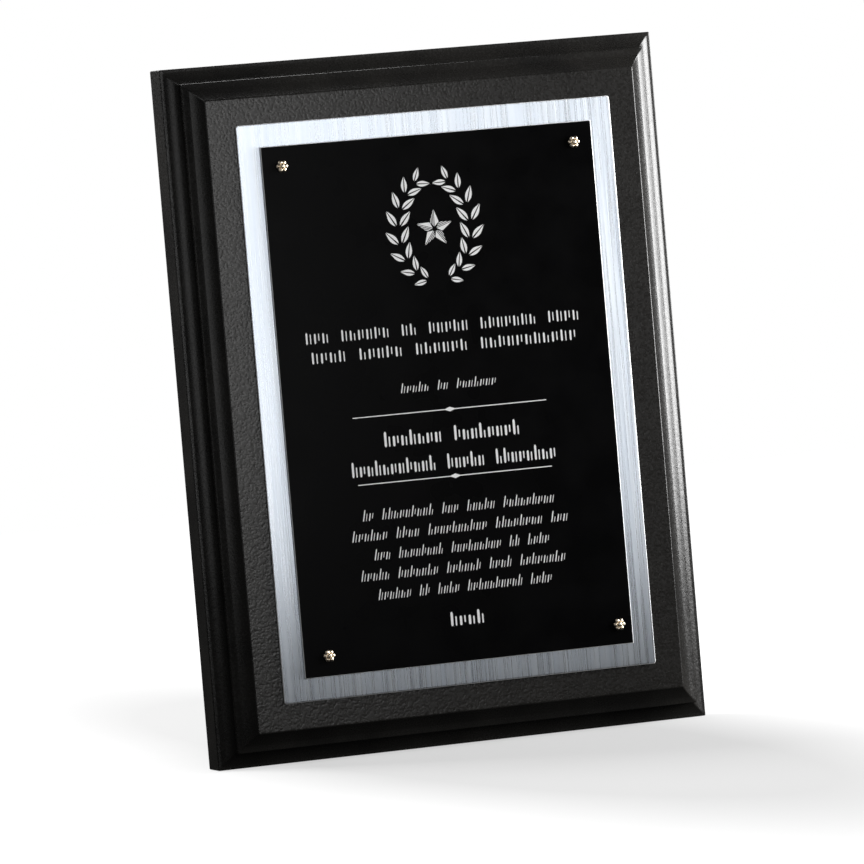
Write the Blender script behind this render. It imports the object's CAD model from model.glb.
import math

import bmesh
import bpy
from mathutils import Euler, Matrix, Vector


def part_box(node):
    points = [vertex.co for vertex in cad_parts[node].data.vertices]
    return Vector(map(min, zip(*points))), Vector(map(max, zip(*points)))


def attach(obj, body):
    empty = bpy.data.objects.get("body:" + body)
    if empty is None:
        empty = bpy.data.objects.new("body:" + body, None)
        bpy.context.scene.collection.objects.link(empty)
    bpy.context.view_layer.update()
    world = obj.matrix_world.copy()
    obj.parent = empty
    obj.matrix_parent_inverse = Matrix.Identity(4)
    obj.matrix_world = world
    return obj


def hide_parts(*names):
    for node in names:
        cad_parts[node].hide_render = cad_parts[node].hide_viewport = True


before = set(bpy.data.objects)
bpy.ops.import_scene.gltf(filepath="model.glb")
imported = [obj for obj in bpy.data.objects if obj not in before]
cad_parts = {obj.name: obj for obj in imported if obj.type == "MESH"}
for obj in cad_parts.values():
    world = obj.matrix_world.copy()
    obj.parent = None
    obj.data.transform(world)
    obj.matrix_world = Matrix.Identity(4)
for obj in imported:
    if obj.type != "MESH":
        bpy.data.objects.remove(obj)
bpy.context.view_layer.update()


# The board is one blank of fibreboard. A router has run a flat lip, a cove, a step and a second cove along
# its four edges. It is sprayed black with a satin paint that dries to a fine pebble. A keyhole slot is
# routed into its back, so that it hangs flat on one screw.

board_low, board_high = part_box("board")
BOARD_WIDTH = board_high.x - board_low.x
BOARD_HEIGHT = board_high.z - board_low.z
BOARD_THICKNESS = board_high.y - board_low.y
BACK_ARRIS = 0.0006
LIP_ROUND = 0.0005
LIP_WIDTH = 0.0010
LIP_SLOPE = 4
OUTER_COVE_WIDTH = 0.0055
OUTER_COVE_SLOPES = (20, 53)
SHOULDER_HEIGHT = 0.00325
STEP_ROUND = 0.0006
INNER_RUN_WIDTH = 0.0025
INNER_RUN_SLOPES = (16, 28)
INNER_COVE_WIDTH = 0.0049
INNER_COVE_SLOPES = (36, 52)
FACE_ROUND = 0.0008
MITRE_ROUND = 0.0005
SHADING_MARGIN = 0.0003
COVE_CUTS = 28
ROUND_CUTS = 5
MITRE_CUTS = 4
KEYHOLE_BELOW_TOP = 0.0260
KEYHOLE_TRAVEL = 0.0130
KEYHOLE_MOUTH_RADIUS = 0.0051
KEYHOLE_POCKET_RELIEF = 0.0002
KEYHOLE_THROAT_WIDTH = 0.0056
KEYHOLE_LIP = 0.0040
KEYHOLE_DEPTH = 0.0100
KEYHOLE_CUTS = 24
SHANK_HOLE_RADIUS = 0.0011
SHANK_HOLE_CUTS = 24
CUT_OVERSHOOT = 0.0010


def at(x, z, forward):
    """A point from its place on the plaque and its distance forward of the wall."""
    return Vector((x, -forward, z))


def mix(start, end, share):
    """The value that lies a share of the way from start to end."""
    return start + (end - start) * share


def arc(centre, radius, start, end, cuts):
    """Points of (x, z) along an arc, with its angles in degrees."""
    points = []
    for i in range(cuts + 1):
        angle = math.radians(mix(start, end, i / cuts))
        points.append((centre[0] + radius * math.cos(angle), centre[1] + radius * math.sin(angle)))
    return points


def sheet_outline(half_width, half_height, corner, cuts):
    """A rectangle of (x, z) points with rounded corners."""
    outline = []
    for turn, (side, end) in enumerate(((1, 1), (-1, 1), (-1, -1), (1, -1))):
        centre = (side * (half_width - corner), end * (half_height - corner))
        outline += arc(centre, corner, 90 * turn, 90 * turn + 90, cuts)
    return outline


def lay_ring(bm, outline, forward):
    return [bm.verts.new(at(x, z, forward)) for x, z in outline]


def bridge(bm, rings):
    """Bands of faces from each ring to the next."""
    for ring, next_ring in zip(rings, rings[1:]):
        for i in range(len(ring)):
            j = (i + 1) % len(ring)
            bm.faces.new((ring[i], ring[j], next_ring[j], next_ring[i]))


def lay_prism(bm, outline, near, far):
    """A closed prism on an outline, between two distances from the wall."""
    rings = [lay_ring(bm, outline, near), lay_ring(bm, outline, far)]
    bridge(bm, rings)
    bm.faces.new(rings[0])
    bm.faces.new(rings[1])


def set_out(name, bm, *materials, sharp_over=35):
    """Turns a finished bmesh into a smooth-shaded object whose edges over an angle stay crisp."""
    bmesh.ops.recalc_face_normals(bm, faces=bm.faces[:])
    mesh = bpy.data.meshes.new(name)
    bm.to_mesh(mesh)
    bm.free()
    for material in materials:
        mesh.materials.append(material)
    mesh.shade_smooth()
    mesh.set_sharp_from_angle(angle=math.radians(sharp_over))
    piece = bpy.data.objects.new(name, mesh)
    bpy.context.collection.objects.link(piece)
    return piece


def rout(piece, cutters, sharp_over=35):
    """Cuts closed bmeshes out of a piece, as a router or drill does, and leaves the result in its mesh."""
    tools = []
    for bm in cutters:
        tool = set_out(piece.name + "_cutter", bm)
        modifier = piece.modifiers.new(tool.name, "BOOLEAN")
        modifier.operation = "DIFFERENCE"
        modifier.solver = "EXACT"
        modifier.object = tool
        tools.append(tool)
    graph = bpy.context.evaluated_depsgraph_get()
    mesh = bpy.data.meshes.new_from_object(piece.evaluated_get(graph))
    piece.modifiers.clear()
    piece.data = mesh
    mesh.shade_smooth()
    mesh.set_sharp_from_angle(angle=math.radians(sharp_over))
    for tool in tools:
        bpy.data.objects.remove(tool, do_unlink=True)


def tack_places():
    """The (x, z) of each tack's axis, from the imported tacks."""
    places = {}
    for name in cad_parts:
        if name.startswith("tack_"):
            low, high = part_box(name)
            places[name] = ((low.x + high.x) / 2, (low.z + high.z) / 2)
    return places


def shank_holes(near, far):
    bm = bmesh.new()
    for place in tack_places().values():
        lay_prism(bm, arc(place, SHANK_HOLE_RADIUS, 0, 360, SHANK_HOLE_CUTS)[:-1], near, far)
    return bm


def turn_profile(profile, radius, start, end, cuts):
    """Runs a profile on along an arc between two slopes in degrees; a cove steepens as it goes."""
    inset, forward = profile[-1]
    turned = radius if end > start else -radius
    first = math.radians(start)
    for i in range(1, cuts + 1):
        slope = math.radians(mix(start, end, i / cuts))
        profile.append((inset + turned * (math.sin(slope) - math.sin(first)),
                        forward + turned * (math.cos(first) - math.cos(slope))))


def cove_radius(width, slopes):
    return width / (math.sin(math.radians(slopes[1])) - math.sin(math.radians(slopes[0])))


def moulding_profile():
    """(inset, forward) points across the board's edge, from the back face round to the front face."""
    profile = [(0.0, 0.0)]
    turn_profile(profile, LIP_ROUND, 90, LIP_SLOPE, ROUND_CUTS)
    inset, forward = profile[-1]
    profile.append((inset + LIP_WIDTH, forward + LIP_WIDTH * math.tan(math.radians(LIP_SLOPE))))
    turn_profile(profile, cove_radius(OUTER_COVE_WIDTH, OUTER_COVE_SLOPES), *OUTER_COVE_SLOPES, COVE_CUTS)
    inset, forward = profile[-1]
    profile.append((inset, forward + SHOULDER_HEIGHT))
    turn_profile(profile, STEP_ROUND, 90, INNER_RUN_SLOPES[0], ROUND_CUTS)
    turn_profile(profile, cove_radius(INNER_RUN_WIDTH, INNER_RUN_SLOPES), *INNER_RUN_SLOPES, COVE_CUTS)
    turn_profile(profile, cove_radius(INNER_COVE_WIDTH, INNER_COVE_SLOPES), *INNER_COVE_SLOPES, COVE_CUTS)
    turn_profile(profile, FACE_ROUND, INNER_COVE_SLOPES[1], 0, ROUND_CUTS)
    side_top = BOARD_THICKNESS - profile[-1][1]
    moulding = [(inset, side_top + forward) for inset, forward in profile]

    back = [(BACK_ARRIS + SHADING_MARGIN, 0.0), (BACK_ARRIS, 0.0)]
    turn_profile(back, BACK_ARRIS, 180, 90, ROUND_CUTS)
    back.append((0.0, BACK_ARRIS + SHADING_MARGIN))
    back.append((0.0, side_top - SHADING_MARGIN))
    return back + moulding + [(moulding[-1][0] + SHADING_MARGIN, BOARD_THICKNESS)]


def keyhole_tools():
    """The router's two cuts: a round mouth with a narrow throat, and a wider pocket behind it."""
    mouth = (0.0, BOARD_HEIGHT / 2 - KEYHOLE_BELOW_TOP - KEYHOLE_TRAVEL)
    hook = (mouth[0], mouth[1] + KEYHOLE_TRAVEL)
    half_throat = KEYHOLE_THROAT_WIDTH / 2
    shoulder = math.degrees(math.acos(half_throat / KEYHOLE_MOUTH_RADIUS))
    opening = bmesh.new()
    outline = arc(mouth, KEYHOLE_MOUTH_RADIUS, 180 - shoulder, 360 + shoulder, 2 * KEYHOLE_CUTS)
    outline += arc(hook, half_throat, 0, 180, KEYHOLE_CUTS)
    lay_prism(opening, outline, -CUT_OVERSHOOT, mix(KEYHOLE_LIP, KEYHOLE_DEPTH, 0.5))
    pocket = bmesh.new()
    outline = arc(mouth, KEYHOLE_MOUTH_RADIUS + KEYHOLE_POCKET_RELIEF, 180, 360, KEYHOLE_CUTS)
    outline += arc(hook, KEYHOLE_MOUTH_RADIUS + KEYHOLE_POCKET_RELIEF, 0, 180, KEYHOLE_CUTS)
    lay_prism(pocket, outline, KEYHOLE_LIP, KEYHOLE_DEPTH)
    return opening, pocket


def start_finish(name, colour, metallic, roughness):
    """A material with a plain finish, and its node tree and shader to build on."""
    material = bpy.data.materials.new(name)
    material.use_nodes = True
    tree = material.node_tree
    shader = tree.nodes["Principled BSDF"]
    shader.inputs["Base Color"].default_value = (*colour, 1.0)
    shader.inputs["Metallic"].default_value = metallic
    shader.inputs["Roughness"].default_value = roughness
    return material, tree, shader


def grain(tree, scale, detail=2.0, stretch=(1.0, 1.0, 1.0), rough=0.5):
    """Noise in the object's own metres, with the grain's size set by scale and its run by stretch."""
    place = tree.nodes.new("ShaderNodeTexCoord")
    mapping = tree.nodes.new("ShaderNodeMapping")
    mapping.inputs["Scale"].default_value = stretch
    noise = tree.nodes.new("ShaderNodeTexNoise")
    noise.inputs["Scale"].default_value = scale
    noise.inputs["Detail"].default_value = detail
    noise.inputs["Roughness"].default_value = rough
    tree.links.new(place.outputs["Object"], mapping.inputs["Vector"])
    tree.links.new(mapping.outputs["Vector"], noise.inputs["Vector"])
    return noise.outputs["Fac"]


def spread(tree, value, low, high, start=0.35, end=0.65):
    """Maps a noise value onto a range."""
    node = tree.nodes.new("ShaderNodeMapRange")
    node.inputs["From Min"].default_value = start
    node.inputs["From Max"].default_value = end
    node.inputs["To Min"].default_value = low
    node.inputs["To Max"].default_value = high
    tree.links.new(value, node.inputs["Value"])
    return node.outputs["Result"]


def tint(tree, value, dark, light, start=0.35, end=0.65):
    """Turns a noise value into a colour between two tints."""
    ramp = tree.nodes.new("ShaderNodeValToRGB")
    ramp.color_ramp.elements[0].position = start
    ramp.color_ramp.elements[0].color = (*dark, 1.0)
    ramp.color_ramp.elements[1].position = end
    ramp.color_ramp.elements[1].color = (*light, 1.0)
    tree.links.new(value, ramp.inputs["Fac"])
    return ramp.outputs["Color"]


def press(tree, shader, height, distance, strength=1.0, below=None):
    """Lays a height onto the surface as fine relief, over any relief below it."""
    bump = tree.nodes.new("ShaderNodeBump")
    bump.inputs["Strength"].default_value = strength
    bump.inputs["Distance"].default_value = distance
    tree.links.new(height, bump.inputs["Height"])
    if below is not None:
        tree.links.new(below, bump.inputs["Normal"])
    tree.links.new(bump.outputs["Normal"], shader.inputs["Normal"])
    return bump.outputs["Normal"]


def pebbled_paint():
    """Satin black paint with a fine pebble, a little paler and duller in places."""
    material, tree, shader = start_finish("pebbled_black_paint", (0.016, 0.015, 0.014), 0.0, 0.30)
    shader.inputs["Specular IOR Level"].default_value = 0.55
    cloud = grain(tree, 38.0, 3.0)
    paint = tint(tree, cloud, (0.012, 0.0115, 0.011), (0.020, 0.019, 0.0175))
    tree.links.new(paint, shader.inputs["Base Color"])
    pebble = grain(tree, 900.0, 2.0)
    tree.links.new(spread(tree, pebble, 0.22, 0.31), shader.inputs["Roughness"])
    swell = press(tree, shader, grain(tree, 260.0, 1.0), 0.00003)
    press(tree, shader, pebble, 0.00004, below=swell)
    return material


def face_paint():
    """The same paint where it lies flat and was sprayed thickest, so that its pebble stands higher."""
    material, tree, shader = start_finish("pebbled_black_face", (0.012, 0.0112, 0.0102), 0.0, 0.28)
    shader.inputs["Specular IOR Level"].default_value = 0.60
    cloud = grain(tree, 38.0, 3.0)
    paint = tint(tree, cloud, (0.010, 0.0092, 0.0082), (0.014, 0.0130, 0.0118))
    tree.links.new(paint, shader.inputs["Base Color"])
    pebble = grain(tree, 900.0, 2.0)
    tree.links.new(spread(tree, pebble, 0.24, 0.32), shader.inputs["Roughness"])
    swell = press(tree, shader, grain(tree, 500.0, 1.0), 0.00006)
    press(tree, shader, pebble, 0.00015, below=swell)
    return material


def raw_fibreboard():
    """Bare brown fibre, which shows only inside the keyhole slot."""
    material, tree, shader = start_finish("raw_fibreboard", (0.30, 0.20, 0.12), 0.0, 0.85)
    fibre = grain(tree, 1400.0, 4.0, (1.0, 1.0, 0.35))
    tree.links.new(tint(tree, fibre, (0.20, 0.125, 0.07), (0.38, 0.26, 0.16)), shader.inputs["Base Color"])
    press(tree, shader, fibre, 0.00012)
    return material


board_mesh = bmesh.new()
board_rings = []
for inset, forward in moulding_profile():
    outline = sheet_outline(BOARD_WIDTH / 2 - inset, BOARD_HEIGHT / 2 - inset, MITRE_ROUND, MITRE_CUTS)
    board_rings.append(lay_ring(board_mesh, outline, forward))
bridge(board_mesh, board_rings)
board_mesh.faces.new(board_rings[0])
board_mesh.faces.new(board_rings[-1])
board = set_out("moulded_board", board_mesh, pebbled_paint(), raw_fibreboard(), face_paint())
tack_low, tack_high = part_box("tack_top_left")
TACK_TIP = -tack_high.y
HOLE_CLEARANCE = 0.0003
FLAT_WITHIN = 0.00002
rout(board, (shank_holes(TACK_TIP - HOLE_CLEARANCE, BOARD_THICKNESS + CUT_OVERSHOOT), *keyhole_tools()))
for face in board.data.polygons:
    depth = -face.center.y
    near_slot = abs(face.center.x) < 2 * KEYHOLE_MOUTH_RADIUS and depth < KEYHOLE_DEPTH + HOLE_CLEARANCE
    near_top = BOARD_HEIGHT / 2 - face.center.z > KEYHOLE_BELOW_TOP / 2
    if near_slot and near_top and depth > HOLE_CLEARANCE:
        face.material_index = 1
    if depth > BOARD_THICKNESS - FLAT_WITHIN:
        face.material_index = 2
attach(board, "root")
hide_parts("board")


# The border plate is a sheet of aluminium, brushed from top to bottom. Its sheared edges were rubbed round
# and bright. Only a band of it shows, round the engraved plate.

border_low, border_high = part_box("border_plate")
BORDER_CORNER = 0.0010
RUBBED_EDGE = 0.0004
EDGE_CUTS = 5
FACE_LEVEL = 0.98
BRUSH_RUN = 0.006


def lay_sheet(name, low, high, corner, edge, face_finish, edge_finish):
    """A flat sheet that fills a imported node's box, with its edges rubbed round, in a finish of their own."""
    middle_x, middle_z = (low.x + high.x) / 2, (low.z + high.z) / 2
    half_width, half_height = (high.x - low.x) / 2, (high.z - low.z) / 2
    near, far = -high.y, -low.y
    levels = [(edge + SHADING_MARGIN, near)]
    for i in range(EDGE_CUTS + 1):
        turn = math.pi / 2 * i / EDGE_CUTS
        levels.append((edge * (1 - math.sin(turn)), near + edge * (1 - math.cos(turn))))
    for i in range(EDGE_CUTS + 1):
        turn = math.pi / 2 * i / EDGE_CUTS
        levels.append((edge * (1 - math.cos(turn)), far - edge * (1 - math.sin(turn))))
    levels.append((edge + SHADING_MARGIN, far))
    bm = bmesh.new()
    rings = []
    for inset, forward in levels:
        outline = sheet_outline(half_width - inset, half_height - inset, corner, MITRE_CUTS)
        rings.append(lay_ring(bm, [(middle_x + x, middle_z + z) for x, z in outline], forward))
    bridge(bm, rings)
    bm.faces.new(rings[0])
    bm.faces.new(rings[-1])
    sheet = set_out(name, bm, face_finish, edge_finish)
    for face in sheet.data.polygons:
        if abs(face.normal.y) < FACE_LEVEL:
            face.material_index = 1
    return sheet


def brushed_aluminium():
    """Aluminium brushed up and down: fine lines that spread its shine sideways, with a few deeper ones."""
    material, tree, shader = start_finish("brushed_aluminium", (0.80, 0.84, 0.88), 1.0, 0.30)
    shader.inputs["Anisotropic"].default_value = 0.85
    direction = tree.nodes.new("ShaderNodeTangent")
    direction.direction_type = "RADIAL"
    direction.axis = "Z"
    tree.links.new(direction.outputs["Tangent"], shader.inputs["Tangent"])
    lines = grain(tree, 2600.0, 2.0, (1.0, 1.0, BRUSH_RUN))
    bands = grain(tree, 420.0, 2.0, (1.0, 1.0, BRUSH_RUN * 4))
    tree.links.new(tint(tree, bands, (0.68, 0.74, 0.82), (0.75, 0.80, 0.86)), shader.inputs["Base Color"])
    tree.links.new(spread(tree, lines, 0.26, 0.34), shader.inputs["Roughness"])
    wide = press(tree, shader, bands, 0.00001)
    press(tree, shader, lines, 0.000008, below=wide)
    return material


def bright_edge():
    """The bare metal of a sheet's edge, rubbed until it shines softly."""
    material, tree, shader = start_finish("bright_edge", (0.96, 0.97, 0.98), 0.4, 0.50)
    press(tree, shader, grain(tree, 1800.0, 2.0), 0.00002)
    return material


edge_finish = bright_edge()
border = lay_sheet("border_sheet", border_low, border_high, BORDER_CORNER, RUBBED_EDGE,
                   brushed_aluminium(), edge_finish)
rout(border, [shank_holes(-border_high.y - CUT_OVERSHOOT, -border_low.y + CUT_OVERSHOOT)])
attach(border, "root")
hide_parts("border_plate")


# The engraved plate is a thin sheet with a smooth black coat on its face and bare, rubbed edges. The
# engraver's tool has cut through the coat into the metal, so every stroke is a shallow pocket.

plate_low, plate_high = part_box("engraved_plate")
PLATE_WIDTH = plate_high.x - plate_low.x
PLATE_HEIGHT = plate_high.z - plate_low.z
PLATE_FRONT = -plate_low.y
PLATE_CORNER = 0.0004
ENGRAVING_DEPTH = 0.0002

# The inscription's rows and stroke heights are shares of the plate's height, and its half widths of the width
HEADING_ROWS = (0.135, 0.0975)
HEADING_HALF_WIDTHS = (0.417, 0.404)
HEADING_STROKE = 0.0220
INVITING_ROW = 0.026
INVITING_HALF_WIDTH = 0.146
INVITING_STROKE = 0.0190
NAME_ROWS = (-0.067, -0.119)
NAME_HALF_WIDTHS = (0.208, 0.312)
NAME_STROKE = 0.0290
RULE_ROWS = (-0.0216, -0.1480)
RULE_HALF_WIDTH = 0.294
RULE_HALF_THICKNESS = 0.0009
DIAMOND_HALF_HEIGHT = 0.0045
DIAMOND_STRETCH = 2.2
BODY_TOP_ROW = -0.2060
BODY_ROW_PITCH = 0.0376
BODY_HALF_WIDTHS = (0.292, 0.329, 0.267, 0.312, 0.265)
BODY_STROKE = 0.0215
CLOSING_ROW = -0.4170
CLOSING_HALF_WIDTH = 0.054
CLOSING_STROKE = 0.0270
EMBLEM_ROW = 0.3200
EMBLEM_HALF_WIDTH = 0.130
EMBLEM_HALF_HEIGHT = 0.118
SPRIG_REACH = 0.84
SPRIG_FOOT_ANGLE = -72
SPRIG_TOP_ANGLE = 64
SPRIG_LEAVES = 8
LEAF_OVER_SPACING = 1.05
LEAF_LEAN = 0.62
LEAF_WIDTH = 0.40
LEAF_CUTS = 6
LEAF_RIB = 0.10
STAR_REACH = 0.44
STAR_WAIST = 0.42
STAR_GAP = 0.06
HATCHES = 3

# How the strokes of a row stand: gaps and thicknesses are shares of the pitch from stroke to stroke
GROUP_GAP = 1.3
SHORT_STROKE = 0.68
SHORT_CAPITAL = 0.88
ITALIC_SLANT = 0.22
FINE_WEIGHT = 0.20
PLAIN_WEIGHT = 0.22
BOLD_WEIGHT = 0.28
STEM_PLACE = 0.27
HAIRLINE_PLACE = 0.73
HAIRLINE_WEIGHT = 0.62


def cut_stroke(x, base, height, half_width, slant):
    """One stroke of the engraver's tool: a slender bar that runs out to a blunt point at both ends."""
    shape = ((-0.45, 0.0), (0.45, 0.0), (1.0, 0.10), (1.0, 0.90),
             (0.45, 1.0), (-0.45, 1.0), (-1.0, 0.90), (-1.0, 0.10))
    return [(x + side * half_width + slant * rise * height, base + rise * height) for side, rise in shape]


def stroke_row(row, half_width, height, words, short=SHORT_STROKE, slant=0.0, weight=PLAIN_WEIGHT):
    """Outlines of a row of strokes in groups. Each place in a group holds a stem and a lighter hairline."""
    half_row = half_width * PLATE_WIDTH
    pitch = 2 * half_row / (sum(words) + GROUP_GAP * (len(words) - 1))
    full = height * PLATE_HEIGHT
    base = row * PLATE_HEIGHT - full / 2
    half_stroke = pitch * weight / 2
    outlines = []
    x = -half_row
    place = 0
    for word in words:
        for i in range(word):
            tall = i == 0 or place * 5 % 7 < 2
            stem = full if tall else full * short
            hair = full * short * (1.0, 0.72, 0.86)[place % 3]
            lift = full * short - hair if place % 2 else 0.0
            outlines.append(cut_stroke(x + pitch * STEM_PLACE, base, stem, half_stroke, slant))
            outlines.append(cut_stroke(x + pitch * HAIRLINE_PLACE + slant * lift, base + lift, hair,
                                       half_stroke * HAIRLINE_WEIGHT, slant))
            x += pitch
            place += 1
        x += pitch * GROUP_GAP
    return outlines


def rule_outlines(row):
    """A thin rule across the plate that swells to a small diamond at its middle."""
    z = row * PLATE_HEIGHT
    half_length = RULE_HALF_WIDTH * PLATE_WIDTH
    half_rule = RULE_HALF_THICKNESS * PLATE_HEIGHT
    half_diamond = DIAMOND_HALF_HEIGHT * PLATE_HEIGHT
    shoulder = DIAMOND_STRETCH * half_diamond
    upper = [(half_length, half_rule), (shoulder, half_rule), (0.0, half_diamond),
             (-shoulder, half_rule), (-half_length, half_rule)]
    lower = [(x, -rise) for x, rise in reversed(upper)]
    return [[(x, z + rise) for x, rise in upper + lower]]


def half_leaf(base, angle, length, width, side):
    """One half of a leaf's blade, on one side of a thin rib that is left standing."""
    rib = width * LEAF_RIB
    outline = [(0.04, side * rib)]
    for i in range(1, LEAF_CUTS):
        along = i / LEAF_CUTS
        belly = math.sin(math.pi * along ** 0.85) * width / 2
        outline.append((along, side * max(belly, rib * 1.5)))
    outline.append((1.0, side * rib * 0.4))
    points = []
    for along, across in outline:
        step = along * length
        x = base[0] + step * math.cos(angle) - across * math.sin(angle)
        points.append((x, base[1] + step * math.sin(angle) + across * math.cos(angle)))
    return points


def sprig_outlines(middle, half_width, half_height):
    """Two sprigs that rise round the star, with their leaves in pairs."""
    outlines = []
    turn_step = math.radians(SPRIG_TOP_ANGLE - SPRIG_FOOT_ANGLE) / (SPRIG_LEAVES - 1)
    for i in range(SPRIG_LEAVES):
        turn = math.radians(SPRIG_FOOT_ANGLE) + turn_step * i
        step = (-half_width * math.sin(turn), half_height * math.cos(turn))
        along = math.atan2(step[1], step[0])
        length = LEAF_OVER_SPACING * math.hypot(*step) * turn_step
        for lean in (-LEAF_LEAN, LEAF_LEAN):
            off_stem = math.copysign(length * LEAF_WIDTH / 4, lean)
            base = (half_width * math.cos(turn) - off_stem * math.sin(along),
                    middle + half_height * math.sin(turn) + off_stem * math.cos(along))
            for side in (-1, 1):
                leaf = half_leaf(base, along + lean, length, length * LEAF_WIDTH, side)
                outlines.append(leaf)
                outlines.append([(-x, z) for x, z in leaf])
    return outlines


def star_outlines(middle, reach):
    """A five-pointed star in ten facets: one side of each point is cut clear, the other hatched."""
    outlines = []
    for point in range(5):
        tip_angle = math.pi / 2 + point * math.tau / 5
        tip = Vector((reach * math.cos(tip_angle), reach * math.sin(tip_angle)))
        for side in (-1, 1):
            waist_angle = tip_angle + side * math.pi / 5
            waist = Vector((math.cos(waist_angle), math.sin(waist_angle))) * reach * STAR_WAIST
            strips = 1 if side < 0 else HATCHES
            for k in range(strips):
                near = mix(STAR_GAP, 1.0 - STAR_GAP, k / strips)
                far = mix(STAR_GAP, 1.0 - STAR_GAP, (k + 1) / strips)
                if side > 0:
                    far = mix(near, far, 0.5)
                start = tip * 0.10
                corners = [start.lerp(waist, near), tip.lerp(waist, near),
                           tip.lerp(waist, far), start.lerp(waist, far)]
                outlines.append([(corner.x, middle + corner.y) for corner in corners])
    return outlines


def inscription_outlines():
    half_width, half_height = EMBLEM_HALF_WIDTH * PLATE_WIDTH, EMBLEM_HALF_HEIGHT * PLATE_HEIGHT
    middle = EMBLEM_ROW * PLATE_HEIGHT
    outlines = sprig_outlines(middle, SPRIG_REACH * half_width, SPRIG_REACH * half_height)
    outlines += star_outlines(middle, STAR_REACH * half_width)
    heading_words = ((3, 6, 2, 5, 7, 4), (4, 5, 6, 11))
    for row, half, words in zip(HEADING_ROWS, HEADING_HALF_WIDTHS, heading_words):
        outlines += stroke_row(row, half, HEADING_STROKE, words, SHORT_CAPITAL)
    inviting_words = (5, 2, 7)
    outlines += stroke_row(INVITING_ROW, INVITING_HALF_WIDTH, INVITING_STROKE, inviting_words,
                           slant=ITALIC_SLANT, weight=FINE_WEIGHT)
    for row in RULE_ROWS:
        outlines += rule_outlines(row)
    for row, half, words in zip(NAME_ROWS, NAME_HALF_WIDTHS, ((7, 8), (11, 5, 8))):
        outlines += stroke_row(row, half, NAME_STROKE, words, weight=BOLD_WEIGHT)
    body_words = ((2, 9, 3, 5, 9), (6, 4, 10, 8, 3), (3, 8, 9, 2, 4), (5, 7, 6, 4, 8), (6, 2, 4, 10, 4))
    for i, (half, words) in enumerate(zip(BODY_HALF_WIDTHS, body_words)):
        outlines += stroke_row(BODY_TOP_ROW - i * BODY_ROW_PITCH, half, BODY_STROKE, words,
                               slant=ITALIC_SLANT, weight=FINE_WEIGHT)
    outlines += stroke_row(CLOSING_ROW, CLOSING_HALF_WIDTH, CLOSING_STROKE, (4,), weight=BOLD_WEIGHT)
    return outlines


def black_coat():
    """A smooth, even black coat with the faintest drift in its shine."""
    material, tree, shader = start_finish("smooth_black_coat", (0.0018, 0.0018, 0.0020), 0.0, 0.34)
    shader.inputs["Specular IOR Level"].default_value = 0.05
    drift = grain(tree, 60.0, 2.0)
    tree.links.new(spread(tree, drift, 0.26, 0.34), shader.inputs["Roughness"])
    press(tree, shader, grain(tree, 1500.0, 1.0), 0.000004)
    return material


plate = lay_sheet("coated_plate", plate_low, plate_high, PLATE_CORNER, RUBBED_EDGE,
                  black_coat(), edge_finish)
pockets = bmesh.new()
for outline in inscription_outlines():
    lay_prism(pockets, outline, PLATE_FRONT - ENGRAVING_DEPTH, PLATE_FRONT + CUT_OVERSHOOT)
rout(plate, [shank_holes(-plate_high.y - CUT_OVERSHOOT, PLATE_FRONT + CUT_OVERSHOOT), pockets])
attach(plate, "root")
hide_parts("engraved_plate")


# The engraving is the frosted bare metal that the tool has laid open at the bottom of each stroke. It lies in
# the pockets, a hair below the coat.

ENGRAVING_TOP_BELOW = 0.00002
ENGRAVING_BED = 0.00002
ENGRAVING_INSET = 0.00002


def frosted_metal():
    """Bright metal with the tool's fine frosting, which scatters light evenly."""
    material, tree, shader = start_finish("frosted_metal", (0.92, 0.92, 0.92), 0.0, 0.6)
    frost = grain(tree, 3000.0, 2.0)
    tree.links.new(tint(tree, frost, (0.88, 0.88, 0.88), (0.97, 0.97, 0.97)), shader.inputs["Base Color"])
    press(tree, shader, frost, 0.00002)
    return material


engraving_mesh = bmesh.new()
for outline in inscription_outlines():
    centre_x = sum(x for x, z in outline) / len(outline)
    centre_z = sum(z for x, z in outline) / len(outline)
    drawn_in = []
    for x, z in outline:
        away = math.hypot(x - centre_x, z - centre_z)
        share = 1 - ENGRAVING_INSET / max(away, 2 * ENGRAVING_INSET)
        drawn_in.append((mix(centre_x, x, share), mix(centre_z, z, share)))
    bed = PLATE_FRONT - ENGRAVING_DEPTH + ENGRAVING_BED
    lay_prism(engraving_mesh, drawn_in, bed, PLATE_FRONT - ENGRAVING_TOP_BELOW)
engraving = set_out("engraving", engraving_mesh, frosted_metal())
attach(engraving, "root")


# Four tacks of pale brass pin both plates to the board. Each has a stamped rosette head: six petals round a
# small dome, on a plain pointed shank.

TACK_HEAD_RADIUS = 0.0028
TACK_HEAD_HEIGHT = 0.0017
TACK_DOME_RADIUS = 0.0011
TACK_SHANK_RADIUS = 0.0007
TACK_POINT_LENGTH = 0.0016
TACK_PETALS = 6
PETAL_CUTS = 14
PETAL_SCALLOP = 0.20
PETAL_RIPPLE = 0.16

# The head's rings, as shares: how far out, how high, and how deep the dips between petals are
PETAL_RINGS = ((0.98, 0.08, 0.0), (1.0, 0.20, 0.0), (0.97, 0.36, 0.4), (0.88, 0.52, 0.8),
               (0.78, 0.62, 1.0), (0.68, 0.68, 1.0), (0.58, 0.66, 0.9))
DOME_RINGS = ((1.22, 0.42), (1.08, 0.38), (1.0, 0.44), (0.97, 0.60),
              (0.88, 0.76), (0.70, 0.89), (0.46, 0.97), (0.2, 1.0))


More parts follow.
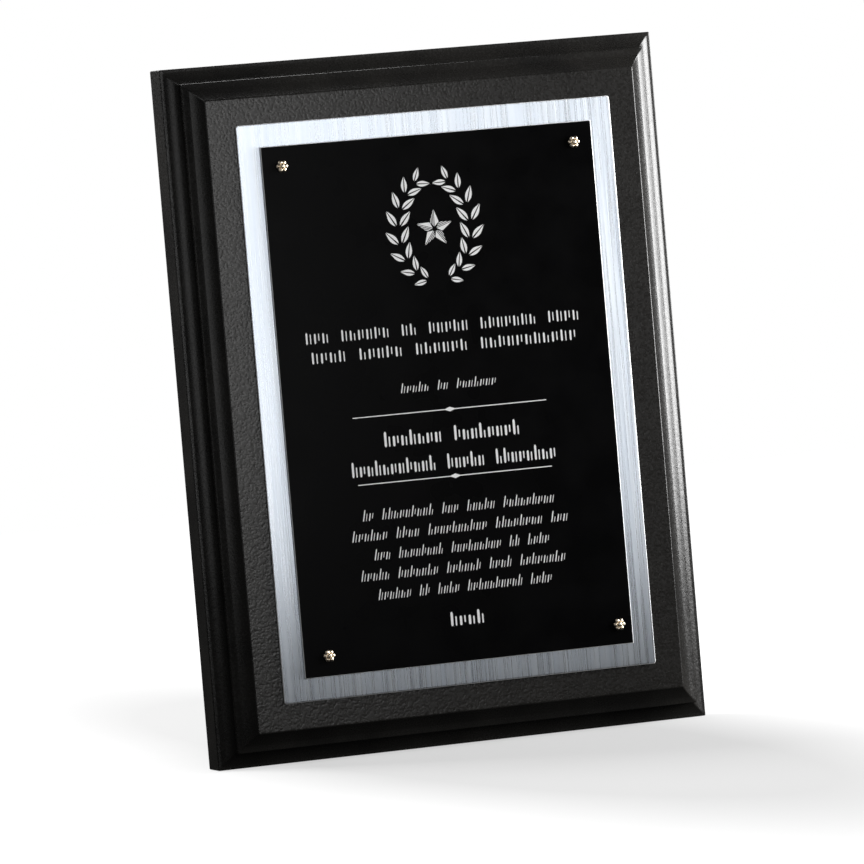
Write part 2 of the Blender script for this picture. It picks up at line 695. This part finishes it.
def lay_tack_ring(bm, centre, radius, forward, scallop=0.0, ripple=0.0):
    """A ring about the tack's axis. Between petals it draws in by scallop, a share, and sinks by ripple."""
    around = TACK_PETALS * PETAL_CUTS
    ring = []
    for i in range(around):
        angle = math.tau * i / around
        dip = 1 - abs(math.cos(TACK_PETALS * angle / 2))
        reach = radius * (1 - scallop * dip)
        x, z = centre[0] + reach * math.cos(angle), centre[1] + reach * math.sin(angle)
        ring.append(bm.verts.new(at(x, z, forward - ripple * dip)))
    return ring


def pale_brass():
    """Pale, bright brass with the fine marks of the stamping die."""
    material, tree, shader = start_finish("pale_brass", (0.90, 0.80, 0.64), 1.0, 0.32)
    marks = grain(tree, 2200.0, 3.0)
    tree.links.new(spread(tree, marks, 0.26, 0.40), shader.inputs["Roughness"])
    tree.links.new(tint(tree, marks, (0.84, 0.70, 0.52), (0.95, 0.86, 0.72)), shader.inputs["Base Color"])
    press(tree, shader, marks, 0.00002)
    return material


brass = pale_brass()
for name, place in tack_places().items():
    low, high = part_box(name)
    tip, crown = -high.y, -low.y
    head = crown - TACK_HEAD_HEIGHT
    tack_mesh = bmesh.new()
    rings = [
        lay_tack_ring(tack_mesh, place, TACK_SHANK_RADIUS, tip + TACK_POINT_LENGTH),
        lay_tack_ring(tack_mesh, place, TACK_SHANK_RADIUS, head),
        lay_tack_ring(tack_mesh, place, mix(TACK_SHANK_RADIUS, TACK_HEAD_RADIUS, 0.92), head, PETAL_SCALLOP),
    ]
    for reach, rise, ripple in PETAL_RINGS:
        ring_height = mix(head, crown, rise)
        ripple_height = TACK_HEAD_HEIGHT * PETAL_RIPPLE * ripple
        ring_radius = TACK_HEAD_RADIUS * reach
        rings.append(lay_tack_ring(tack_mesh, place, ring_radius, ring_height, PETAL_SCALLOP, ripple_height))
    for reach, rise in DOME_RINGS:
        rings.append(lay_tack_ring(tack_mesh, place, TACK_DOME_RADIUS * reach, mix(head, crown, rise)))
    bridge(tack_mesh, rings)
    point = tack_mesh.verts.new(at(*place, tip))
    for i, vert in enumerate(rings[0]):
        tack_mesh.faces.new((point, vert, rings[0][(i + 1) % len(rings[0])]))
    tack_mesh.faces.new(rings[-1])
    tack = set_out("rosette_" + name, tack_mesh, brass, sharp_over=50)
    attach(tack, "root")
    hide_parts(name)


# The floor is a plain pale sheet under the plaque's lower edge. It glows a little by itself and more further
# off, so that it meets the white backdrop without a line.

FLOOR_REACH = 2.2
FLOOR_GLOW_NEAR = 0.54
FLOOR_GLOW_FAR = 1.10
FLOOR_FADE_START = 0.42
FLOOR_FADE_END = 1.00
FLOOR_SIDE_PACE = 5.0
FLOOR_GAP = 0.0002

floor_mesh = bmesh.new()
floor_corners = []
for x, y in ((-1, -1), (1, -1), (1, 1), (-1, 1)):
    floor_corners.append(floor_mesh.verts.new((x * FLOOR_REACH, y * FLOOR_REACH, board_low.z - FLOOR_GAP)))
floor_mesh.faces.new(floor_corners)
floor_finish, floor_tree, floor_shader = start_finish("pale_floor", (0.20, 0.20, 0.20), 0.0, 0.9)
floor_shader.inputs["Emission Color"].default_value = (1.0, 1.0, 1.0, 1.0)
floor_place = floor_tree.nodes.new("ShaderNodeTexCoord")
floor_pace = floor_tree.nodes.new("ShaderNodeMapping")
floor_pace.inputs["Scale"].default_value = (FLOOR_SIDE_PACE, 1.0, 1.0)
floor_distance = floor_tree.nodes.new("ShaderNodeVectorMath")
floor_distance.operation = "LENGTH"
floor_tree.links.new(floor_place.outputs["Object"], floor_pace.inputs["Vector"])
floor_tree.links.new(floor_pace.outputs["Vector"], floor_distance.inputs[0])
floor_glow = spread(floor_tree, floor_distance.outputs["Value"], FLOOR_GLOW_NEAR, FLOOR_GLOW_FAR,
                    FLOOR_FADE_START, FLOOR_FADE_END)
floor_tree.links.new(floor_glow, floor_shader.inputs["Emission Strength"])
floor_shader.inputs["Specular IOR Level"].default_value = 0.0
floor = set_out("floor", floor_mesh, floor_finish)
floor.visible_diffuse = False
floor.visible_glossy = False


# Soft studio lights: each is a flat panel of light that stands out of the camera's sight. Those at the right
# and at the back left are the bright ones, and the front is lit only faintly.

def hang_light(name, place, aim, width, height, power):
    """A soft panel of light at a place, turned to face its aim."""
    lamp = bpy.data.lights.new(name, "AREA")
    lamp.shape = "RECTANGLE"
    lamp.size = width
    lamp.size_y = height
    lamp.energy = power
    light = bpy.data.objects.new(name, lamp)
    light.location = place
    light.rotation_euler = (Vector(aim) - Vector(place)).to_track_quat("-Z", "Y").to_euler()
    light.visible_camera = False
    bpy.context.collection.objects.link(light)
    return light


def stand_round(angle, distance, height):
    """A place round the plaque: angle in degrees from its front toward its right side."""
    turn = math.radians(angle)
    return distance * math.sin(turn), -distance * math.cos(turn), height


PANEL_DISTANCE = 0.85
FRONT_DISTANCE = 0.80
FRONT_HEIGHT = 0.09
RIGHT_HEIGHT = 0.19
FRONT_AIM = (0.0, 0.0, FRONT_HEIGHT)
RIGHT_AIM = (0.0, 0.0, RIGHT_HEIGHT)
MIDDLE = (0.0, 0.0, 0.0)
FRONT_PANEL = (0.26, 0.44)
RIGHT_PANEL = (0.24, 0.60)
BACK_LEFT_PANEL = (0.5, 0.5)
OVERHEAD_PANEL = (0.8, 0.4)
HIGH_LEFT_PANEL = (0.5, 0.4)
for name, angle, power in (("front_panel", 4, 0.90), ("front_left_panel", -52, 0.25)):
    hang_light(name, stand_round(angle, FRONT_DISTANCE, FRONT_HEIGHT), FRONT_AIM, *FRONT_PANEL, power)
for angle, power in ((64, 6.50), (78, 7.50)):
    place = stand_round(angle, PANEL_DISTANCE, RIGHT_HEIGHT)
    hang_light("right_panel_%d" % angle, place, RIGHT_AIM, *RIGHT_PANEL, power)
hang_light("back_left_panel", stand_round(-140, 1.0, 0.7), MIDDLE, *BACK_LEFT_PANEL, 19.5)
hang_light("overhead_panel", stand_round(180, 0.6, 1.05), MIDDLE, *OVERHEAD_PANEL, 7.0)
hang_light("high_left_panel", stand_round(-60, 0.75, 0.75), MIDDLE, *HIGH_LEFT_PANEL, 0.8)

WORLD_DIM = 0.01
world = bpy.data.worlds.new("white_studio")
world.use_nodes = True
backdrop = world.node_tree.nodes["Background"]
seen = world.node_tree.nodes.new("ShaderNodeLightPath")
brightness = world.node_tree.nodes.new("ShaderNodeMapRange")
brightness.inputs["To Min"].default_value = WORLD_DIM
brightness.inputs["To Max"].default_value = 1.0
world.node_tree.links.new(seen.outputs["Is Camera Ray"], brightness.inputs["Value"])
world.node_tree.links.new(brightness.outputs["Result"], backdrop.inputs["Strength"])
backdrop.inputs["Color"].default_value = (1.0, 1.0, 1.0, 1.0)
bpy.context.scene.world = world
bpy.context.scene.view_settings.view_transform = "Standard"


# The camera stands a little to the left of the plaque and just above it, and leans.

CAMERA_AIM = Vector((-0.00837, -0.0275, -0.01430))
CAMERA_DISTANCE = 3.0561
CAMERA_TO_LEFT = math.radians(19.70)
CAMERA_ABOVE = math.radians(2.229)
CAMERA_LEAN = math.radians(4.819)
CAMERA_LENS = 291.9
away = Vector((-math.sin(CAMERA_TO_LEFT) * math.cos(CAMERA_ABOVE),
               -math.cos(CAMERA_TO_LEFT) * math.cos(CAMERA_ABOVE),
               math.sin(CAMERA_ABOVE)))
lens = bpy.data.cameras.new("camera")
lens.lens = CAMERA_LENS
lens.sensor_width = 36.0
camera = bpy.data.objects.new("camera", lens)
camera.location = CAMERA_AIM + away * CAMERA_DISTANCE
level = (-away).to_track_quat("-Z", "Y")
camera.rotation_euler = (level @ Euler((0.0, 0.0, -CAMERA_LEAN)).to_quaternion()).to_euler()
bpy.context.collection.objects.link(camera)
bpy.context.scene.camera = camera
